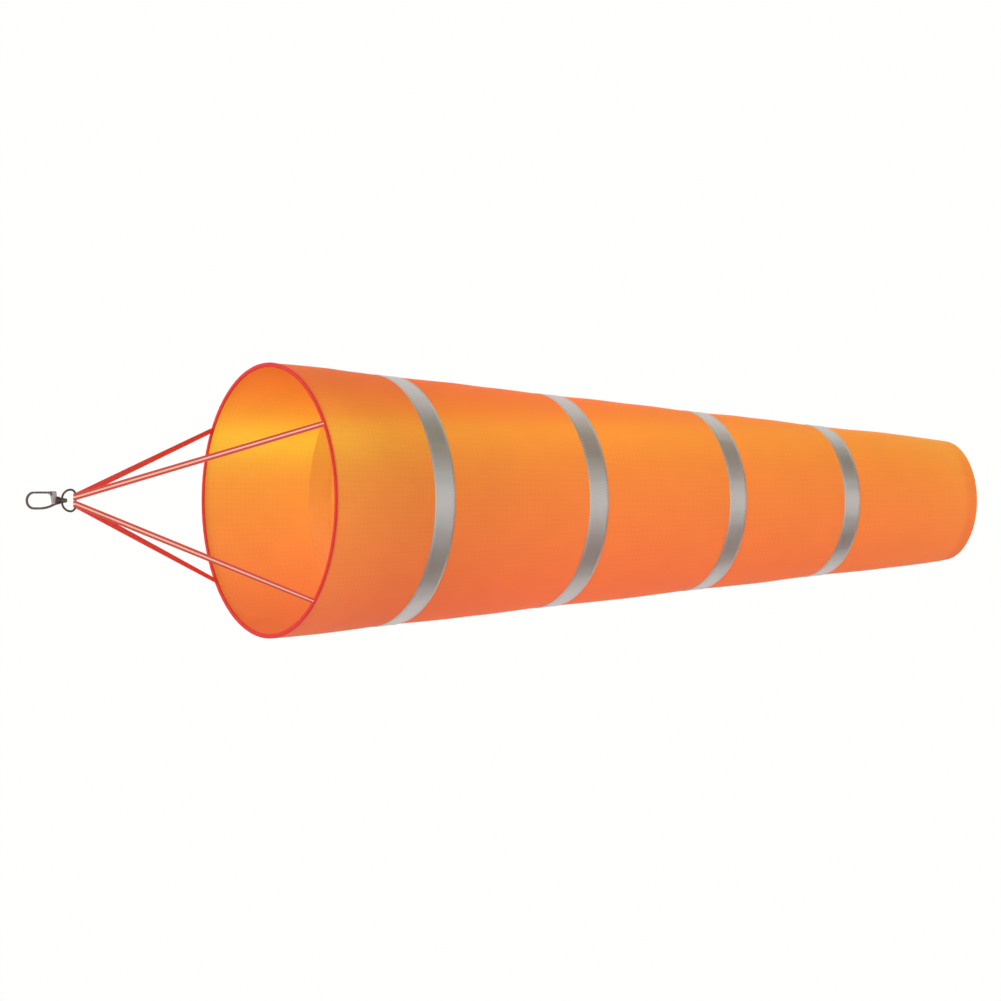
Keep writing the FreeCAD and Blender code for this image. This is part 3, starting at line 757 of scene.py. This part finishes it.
def make_tail_hem():
    """The tail's folded hem: a second layer inside, with a rounded fold at the very end."""
    low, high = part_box("tail_hem")
    places = []
    for share in np.linspace(0, 1, 7):
        at = low.x + (high.x - 2 * HEM_FOLD - low.x) * share
        places.append((at, sleeve_radius(at) - HEM_LAYER))
    middle = sleeve_radius(high.x) - HEM_LAYER / 2
    for turn in np.radians(np.linspace(-60, 75, 8)):
        at = high.x - HEM_FOLD + HEM_FOLD * math.cos(turn)
        places.append((at, middle + HEM_FOLD_HEIGHT * math.sin(turn)))
    x, radius = closed_section(places)
    radius += HEM_RIPPLE * ripple(ring_angles(RING_SEGMENTS), (31, 44, 59), seed=91)[None, :]
    hem = ring_object("tail_hem_fold", x, radius, HEM_CLOTH)
    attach(hem, "ring_4")
    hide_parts("tail_hem")
    at = low.x + HEM_STITCH_INSET
    row = stitch_ring("tail_hem_stitches", at, sleeve_radius(at) + HEM_STITCH_RISE, ORANGE_THREAD)
    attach(row, "ring_4")


def make_binding():
    """The red tape bound round the hoop and the sleeve's front edge, with its stitches."""
    outer = MOUTH_HIGH.z
    inner = float(np.hypot(*node_points("mouth_binding")[:, 1:].T).min())
    half_width, half_depth = (MOUTH_HIGH.x - MOUTH_LOW.x) / 2, (outer - inner) / 2
    middle_x, middle_out = (MOUTH_LOW.x + MOUTH_HIGH.x) / 2, (outer + inner) / 2
    places = []
    for turn in ring_angles(BINDING_SIDES):
        forward, out = math.cos(turn), math.sin(turn)
        power = abs(forward) ** BINDING_SQUARENESS + abs(out) ** BINDING_SQUARENESS
        size = power ** (-1 / BINDING_SQUARENESS)
        places.append((middle_x - half_width * size * forward, middle_out + half_depth * size * out))
    x, radius = closed_section(places)
    angle = ring_angles(RING_SEGMENTS)
    radius += BINDING_RIPPLE * ripple(angle, (97, 118, 131), seed=5)[None, :]
    x = x + BINDING_WANDER * ripple(angle, (83, 107, 127), seed=6)[None, :]
    binding = ring_object("mouth_binding_tape", x, radius, RIM_TAPE, closed=True)
    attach(binding, "mouth")
    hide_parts("mouth_binding")
    at = MOUTH_HIGH.x - BINDING_STITCH_INSET
    row = stitch_ring("binding_stitches", at, outer + BINDING_STITCH_RISE, RED_THREAD)
    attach(row, "mouth")


for band in BANDS:
    make_band(band)
make_tail_hem()
make_binding()


# The bridle: two straps, each one length of webbing from the hoop, round the eye's bar and back

BAR = Vector(JOINTS["bridle_pivot"]["pos_m"])
UP = Vector((0, 0, 1))


def leg_foot(name):
    """The middle of a leg's end on the hoop's binding, with its width's and its outer direction."""
    points = node_points(name)
    end = points[points[:, 0] > points[:, 0].max() - TOUCH]
    middle = Vector((end.min(0) + end.max(0)) / 2)
    outward = Vector((0, middle.y, middle.z)).normalized()
    along_rim = Vector((0, outward.z, -outward.y))
    return middle, along_rim if along_rim.z > 0 else -along_rim, outward


def loop_of(name):
    """The height of a leg's loop on the bar, and the radius of its middle."""
    points = node_points(name)
    loop = points[points[:, 0] < BAR.x - 10 * TOUCH]
    return (loop[:, 2].min() + loop[:, 2].max()) / 2, BAR.x - points[:, 0].min() - STRAP_THICK / 2


def leg_frames(name, sign, height, loop_radius):
    """A leg's frames from the bar to its foot, and the angle at which it leaves the bar."""
    foot, along_rim, outward = leg_foot(name)
    reach = Vector((foot.x - BAR.x, abs(foot.y), 0))
    heading = math.atan2(reach.y, reach.x) - math.asin(loop_radius / reach.length)
    off_bar = Vector((-math.sin(heading), sign * math.cos(heading), 0))
    start = BAR + off_bar * loop_radius + UP * height
    leg = []
    for step in range(LEG_STEPS + 1):
        share = step / LEG_STEPS
        width = UP.lerp(along_rim, share).normalized()
        outer = off_bar.lerp(outward, share)
        outer = (outer - width * outer.dot(width)).normalized()
        leg.append((start.lerp(foot, share), width, outer))
    return leg, heading


def strap_frames(level):
    """Centres, width directions and outward directions along a strap, foot to foot."""
    height, loop_radius = loop_of(f"bridle_near_{level}")
    near, near_heading = leg_frames(f"bridle_near_{level}", -1, height, loop_radius)
    far, far_heading = leg_frames(f"bridle_far_{level}", 1, height, loop_radius)
    first = math.pi / 2 + near_heading
    last = TURN - math.pi / 2 - far_heading
    loop = []
    for step in range(1, LOOP_STEPS):
        turn = first + (last - first) * step / LOOP_STEPS
        outer = Vector((math.cos(turn), -math.sin(turn), 0))
        loop.append((BAR + outer * loop_radius + UP * height, UP, outer))
    return near[::-1] + loop + far


def strap_section():
    """The strap's section as (across, out, is the outer face), rounded at its two edges."""
    edge = ((0.985, 0.6), (1.0, 0.0), (0.985, -0.6))
    places = [(across, 1.0, True) for across in (-0.90, -0.6, -0.3, 0.0, 0.3, 0.6, 0.90)]
    places += [(across, out, False) for across, out in edge]
    places += [(across, -1.0, False) for across in (0.90, 0.45, 0.0, -0.45, -0.90)]
    places += [(-across, out, False) for across, out in edge[::-1]]
    return [(across * STRAP_HALF, out * STRAP_THICK / 2, is_face) for across, out, is_face in places]


def strap_mesh(name, frames, distances):
    """A strap's webbing along its frames, with the traced face outward."""
    section = strap_section()
    points = []
    for centre, width, outer in frames:
        points += [centre + width * across + outer * out for across, out, _ in section]
    rows, columns = len(frames), len(section)
    faces, corners = grid_faces(rows, columns)
    across = np.array([place[0] for place in section + section[:1]])
    weave = np.stack([across[corners[..., 1]], np.array(distances)[corners[..., 0]]], -1)
    caps = [tuple(range(columns)), tuple(range((rows - 1) * columns, rows * columns))[::-1]]
    layers = [("weave", np.concatenate([weave.reshape(-1, 2), np.zeros((2 * columns, 2))]))]
    is_face = np.array([place[2] for place in section])
    traced = is_face[corners[:, 0, 1]] & is_face[corners[:, 1, 1] % columns]
    slots = [*np.where(traced, 0, 1), 1, 1]
    return mesh_object(name, points, [*faces, *caps], layers, [STRAP_FACE, STRAP_BACK_PAINTED_LIGHT], slots)


def strap_tacks(name, frames):
    """The stitches that hold a strap's two feet to the binding."""
    tacks, lines, outward = [], [], []
    for foot, inward in ((frames[0], frames[1]), (frames[-1], frames[-2])):
        centre, width, outer = foot
        step = (inward[0] - centre).normalized()
        for row in TACK_ROWS:
            for share in (-TACK_OUT, TACK_OUT):
                tacks.append(centre + step * row + width * (share * STRAP_HALF) + outer * (STRAP_THICK / 2))
                lines.append(width)
                outward.append(outer)
    return stitches_object(name, np.array(tacks), np.array(lines), np.array(outward), RED_THREAD)


def make_strap(level):
    frames = strap_frames(level)
    centres = [centre for centre, _, _ in frames]
    distances = [0.0]
    for here, after in zip(centres, centres[1:]):
        distances.append(distances[-1] + (after - here).length)
    strap = strap_mesh(f"bridle_strap_{level}", frames, distances)
    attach(strap, "mouth")
    sewn = strap_tacks(f"strap_tacks_{level}", frames)
    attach(sewn, "mouth")
    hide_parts(f"bridle_near_{level}", f"bridle_far_{level}")


for level in ("upper", "lower"):
    make_strap(level)


# The hook's metal, on the CAD's own nodes

PIN_STEEL = plated_metal("pin_steel", (0.45, 0.43, 0.41), 0.3)
METALS = {
    "hook_body": hook_metal(),
    "hook_gate": plated_metal("gate_gunmetal", (0.150, 0.122, 0.106)),
    "swivel_eye": plated_metal("eye_gunmetal", (0.120, 0.096, 0.082)),
    "swivel_stem": plated_metal("rivet_bronze", (0.20, 0.17, 0.09), 0.42),
}
for name in ("gate_pin", "gate_spring", "swivel_washer", "mouth_hoop", "hoop_ferrule"):
    METALS[name] = PIN_STEEL
for name, metal in METALS.items():
    NODES[name].data.materials.clear()
    NODES[name].data.materials.append(metal)


# The gate's leaf spring, curving up from the slot's floor to the gate


def leaf_line(low, high, flat_end, rest, thick):
    """The middle of the leaf as (x, z): flat on the slot's floor, then curving up to the gate."""
    tip = high.z - thick / 2
    line = [(at, rest) for at in np.linspace(high.x, flat_end, LEAF_FLAT_STEPS)]
    for share in np.linspace(0, 1, LEAF_STEPS)[1:]:
        lifted = share - LEAF_CURL * math.sin(math.pi * share)
        line.append((flat_end + (low.x + thick - flat_end) * share, rest + (tip - rest) * lifted))
    return np.array(line)


def make_leaf():
    low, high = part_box("gate_spring")
    points = node_points("gate_spring")
    floor = points[points[:, 0] > high.x - TOUCH]
    rest, thick = floor[:, 2].mean(), float(np.ptp(floor[:, 2]))
    on_floor = np.abs(points[:, 2] - floor[:, 2].max()) < TOUCH
    flat_end = float(points[on_floor, 0].min())
    half = (high.y - low.y) / 2
    centres = leaf_line(low, high, flat_end, rest, thick)
    direction = np.gradient(centres, axis=0)
    direction /= np.linalg.norm(direction, axis=1, keepdims=True)
    upper = ((-1, 0.25), (-0.94, 0.5), (0, 0.5), (0.94, 0.5), (1, 0.25))
    section = [*upper, *((across, -out) for across, out in upper[::-1])]
    made = []
    for (x, z), (run, rise) in zip(centres, direction):
        made += [(x + rise * out * thick, across * half, z - run * out * thick) for across, out in section]
    faces, _ = grid_faces(len(centres), len(section))
    caps = [tuple(range(len(section)))[::-1], tuple(range(len(made) - len(section), len(made)))]
    leaf = mesh_object("gate_leaf", made, [*faces, *caps], materials=[PIN_STEEL])
    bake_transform(leaf)
    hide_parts("gate_spring")


make_leaf()


# The stage: pale floor, soft lights, and the camera at the object's three-quarter side

FLOOR_DROP = 0.9
FLOOR_RADIUS = 4.5
FLOOR_SIDES = 96
# The room's light from the near side, over the top or under the bottom, round to the far side
ROOM_LIGHT = (
    (0.0, (0.98, 0.95, 0.93)),
    (0.07, (0.80, 0.78, 0.77)),
    (0.16, (0.50, 0.49, 0.485)),
    (0.27, (0.22, 0.22, 0.22)),
    (0.38, (0.10, 0.10, 0.102)),
    (0.46, (0.22, 0.215, 0.21)),
    (0.56, (0.66, 0.64, 0.62)),
    (0.68, (0.95, 0.92, 0.90)),
    (1.0, (1.0, 0.97, 0.95)),
)
ROOM_SEEN = (1.0, 1.0, 0.985)
CAMERA_PLACE = (-3.233, -6.218, 0)
CAMERA_AIM = (0.523, 0, 0)
CAMERA_LENS = 262.2


def make_floor():
    shader = new_shader("pale_floor")
    grain = shader.noise(shader.place(), 3.0, 4.0)
    shade = shader.maths("MULTIPLY_ADD", grain, 0.03, 0.90)
    colour = shader.joined(shade, shade, shade)
    surface = shader.add("BsdfPrincipled", {"Base Color": colour, "Roughness": 0.8})
    material = shader.finish("Material", surface.outputs[0])
    middle = (cad_low.x + cad_high.x) / 2
    points = [
        (middle + FLOOR_RADIUS * math.cos(angle), FLOOR_RADIUS * math.sin(angle), -FLOOR_DROP)
        for angle in ring_angles(FLOOR_SIDES)
    ]
    floor = mesh_object("floor", points, [range(FLOOR_SIDES)], materials=[material])
    floor.visible_glossy = False


def make_world():
    """A white room. What the object sees of it darkens above and below, like black cards."""
    sky = Shader(bpy.data.worlds.new("studio"))
    parts = sky.add("SeparateXYZ", {0: sky.add("TexCoord").outputs["Generated"]})
    near = sky.maths("MULTIPLY", parts.outputs[1], -1.0)
    off_level = sky.maths("ABSOLUTE", parts.outputs[2])
    share = sky.maths("DIVIDE", sky.maths("ARCTAN2", off_level, near), math.pi)
    lighting = sky.add("Background", {0: sky.ramp(share, ROOM_LIGHT, "B_SPLINE"), 1: 1.0})
    seen = sky.add("Background", {0: (*ROOM_SEEN, 1), 1: 1.0})
    from_camera = sky.add("LightPath").outputs["Is Camera Ray"]
    mixed = sky.add("MixShader", {0: from_camera, 1: lighting.outputs[0], 2: seen.outputs[0]})
    bpy.context.scene.world = sky.finish("World", mixed.outputs[0])


def make_sun(name, towards, strength, spread, colour):
    """A soft light from far off. towards points from the object to the light."""
    light = bpy.data.lights.new(name, "SUN")
    light.energy = strength
    light.angle = math.radians(spread)
    light.color = colour
    made = bpy.data.objects.new(name, light)
    made.rotation_mode = "QUATERNION"
    made.rotation_quaternion = Vector(towards).to_track_quat("Z", "Y")
    made.visible_glossy = False
    bpy.context.scene.collection.objects.link(made)


def make_camera():
    """A long lens, level with the sleeve, off to the hook's side."""
    data = bpy.data.cameras.new("camera")
    data.sensor_width = 36
    data.lens = CAMERA_LENS
    data.clip_end = 60
    camera = bpy.data.objects.new("camera", data)
    camera.location = CAMERA_PLACE
    camera.rotation_mode = "QUATERNION"
    camera.rotation_quaternion = (Vector(CAMERA_AIM) - Vector(CAMERA_PLACE)).to_track_quat("-Z", "Y")
    bpy.context.scene.collection.objects.link(camera)
    bpy.context.scene.camera = camera


make_floor()
make_world()
make_sun("key", (-0.80, -0.50, 0.33), strength=2.65, spread=50, colour=(1.0, 0.975, 0.95))
make_sun("back", (-0.18, 0.90, 0.44), strength=1.75, spread=36, colour=(1.0, 0.97, 0.90))
make_camera()
bpy.context.scene.view_settings.view_transform = "Standard"
